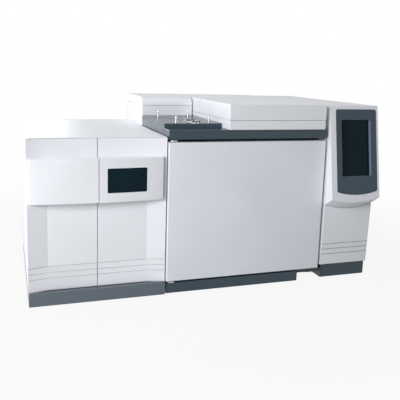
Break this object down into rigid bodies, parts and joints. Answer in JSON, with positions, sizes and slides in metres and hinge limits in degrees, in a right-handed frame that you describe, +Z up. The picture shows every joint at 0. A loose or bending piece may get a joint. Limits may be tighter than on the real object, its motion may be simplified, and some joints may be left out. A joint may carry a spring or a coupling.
{
  "type": "gas chromatograph",
  "caption": "Bench gas chromatograph with a hinged oven door, raised inlet deck and top lids, a detector module on the left and a leaning touch-screen column on the right.",
  "frame": {"origin": "centre of the bounding box's underside, on the bench", "axes": "+Z up, +X along the row of units towards the control column, front faces -Y"},
  "size_m": [0.9576, 0.585, 0.4995],
  "materials": {
    "shell_white": "light-textured moulded plastic, cool off-white",
    "panel_white": "fine-textured powder coat, cool off-white",
    "door_white": "satin powder coat, pale blue-grey white",
    "slate": "satin powder coat, dark slate blue",
    "slate_plastic": "satin moulded plastic, dark slate blue",
    "screen_glass": "polished near-black cover glass",
    "zinc_steel": "bright zinc-plated sheet",
    "stainless": "brushed stainless steel",
    "aluminised": "aluminised steel sheet, dull",
    "machined_aluminium": "fine machined, clear anodised",
    "ceramic_wool": "compressed ceramic fibre",
    "seal_rope": "braided glass-fibre rope",
    "fused_silica": "amber polyimide-coated capillary",
    "nickel": "polished nickel plate",
    "rubber_black": "black moulded rubber",
    "black_plastic": "black moulded plastic",
    "board_green": "solder-masked circuit board",
    "foam_grey": "open-cell acoustic foam",
    "heater_black": "oxidised heating sheath"
  },
  "bodies": {
    "base": {"fixed_front_panel": "shell_white", "display_glass": "screen_glass", "display_unit": "black_plastic", "module_cover": "panel_white", "module_plinth": "slate", "floor_pans": "slate", "module_frame": "zinc_steel", "hinge_brackets": "nickel", "fan_housings": "black_plastic", "back_panels": "panel_white", "vacuum_manifold": "machined_aluminium", "mass_analyser": "stainless", "turbo_pump": "machined_aluminium", "power_units": "zinc_steel", "circuit_boards": "board_green", "rear_fittings": "stainless", "unit_plinths": "slate", "feet": "rubber_black", "unit_covers": "panel_white", "oven_frame": "slate", "oven_jacket": "aluminised", "oven_insulation": "ceramic_wool", "oven_liner": "stainless", "fan_shroud": "stainless", "oven_heater": "heater_black", "oven_fan_motor": "machined_aluminium", "column_cage": "stainless", "capillary_column": "fused_silica", "transfer_line": "machined_aluminium", "front_bar": "slate", "inlet_deck": "slate", "deck_studs": "nickel", "inlets": "stainless", "detectors": "stainless", "upper_surrounds": "panel_white", "flow_modules": "machined_aluminium", "air_ducts": "aluminised", "mains_inlet": "black_plastic", "back_screws": "nickel", "screen_housing": "shell_white", "screen_bezel": "slate_plastic", "touch_screen": "screen_glass", "lower_panel": "shell_white"},
    "oven_door": {"oven_door_skin": "door_white", "oven_door_insulation": "ceramic_wool", "oven_door_tray": "stainless", "oven_door_seal": "seal_rope"},
    "door_latch": {"door_latch": "slate"},
    "service_door": {"service_door": "shell_white", "service_door_foam": "foam_grey"},
    "detector_lid": {"detector_lid": "panel_white"},
    "pneumatics_lid": {"pneumatics_lid": "panel_white"},
    "oven_fan": {"oven_fan": "stainless"},
    "module_fan": {"module_fan_rotor": "black_plastic"},
    "column_fan": {"column_fan_rotor": "black_plastic"},
    "turbo_rotor": {"turbo_rotor": "machined_aluminium"},
    "exhaust_flap": {"flap_exhaust": "aluminised"},
    "intake_flap": {"flap_intake": "aluminised"},
    "power_rocker": {"power_rocker": "black_plastic"}
  },
  "joints": [
    {"name": "oven_door_hinge", "type": "hinge", "parent": "base", "child": "oven_door", "pos_m": [-0.1184, -0.24319, 0.217], "axis": [0, 0, -1], "range_deg": [0, 100]},
    {"name": "latch_slide", "type": "slide", "parent": "base", "child": "door_latch", "axis": [-1, 0, 0], "range_m": [0, 0.008], "stiffness_N_per_m": 400},
    {"name": "service_door_hinge", "type": "hinge", "parent": "base", "child": "service_door", "pos_m": [-0.4718, -0.23369, 0.224], "axis": [0, 0, -1], "range_deg": [0, 100]},
    {"name": "detector_lid_hinge", "type": "hinge", "parent": "base", "child": "detector_lid", "pos_m": [0.1642, 0.28801, 0.4578], "axis": [-1, 0, 0], "range_deg": [0, 70]},
    {"name": "pneumatics_lid_hinge", "type": "hinge", "parent": "base", "child": "pneumatics_lid", "pos_m": [-0.0558, 0.28801, 0.4745], "axis": [-1, 0, 0], "range_deg": [0, 70]},
    {"name": "oven_fan_spin", "type": "hinge", "parent": "base", "child": "oven_fan", "pos_m": [0.0833, -0.04169, 0.21735], "axis": [0, 1, 0], "continuous": true},
    {"name": "module_fan_spin", "type": "hinge", "parent": "base", "child": "module_fan", "pos_m": [-0.2358, 0.23331, 0.33], "axis": [0, 1, 0], "continuous": true},
    {"name": "column_fan_spin", "type": "hinge", "parent": "base", "child": "column_fan", "pos_m": [0.4022, 0.26831, 0.4], "axis": [0, 1, 0], "continuous": true},
    {"name": "turbo_rotor_spin", "type": "hinge", "parent": "base", "child": "turbo_rotor", "pos_m": [-0.3418, -0.09669, 0.11], "axis": [0, 0, 1], "continuous": true},
    {"name": "exhaust_flap_hinge", "type": "hinge", "parent": "base", "child": "exhaust_flap", "pos_m": [-0.0182, 0.28231, 0.31385], "axis": [1, 0, 0], "range_deg": [0, 55], "stiffness_Nm_per_rad": 0.02},
    {"name": "intake_flap_hinge", "type": "hinge", "parent": "base", "child": "intake_flap", "pos_m": [-0.0182, 0.28231, 0.18585], "axis": [1, 0, 0], "range_deg": [0, 55], "stiffness_Nm_per_rad": 0.02},
    {"name": "power_rocker_hinge", "type": "hinge", "parent": "base", "child": "power_rocker", "pos_m": [0.4216, 0.28131, 0.11], "axis": [1, 0, 0], "range_deg": [-16, 0]}
  ],
  "couplings": [
    {"joint": "intake_flap_hinge", "follows": "exhaust_flap_hinge", "ratio": 1}
  ]
}
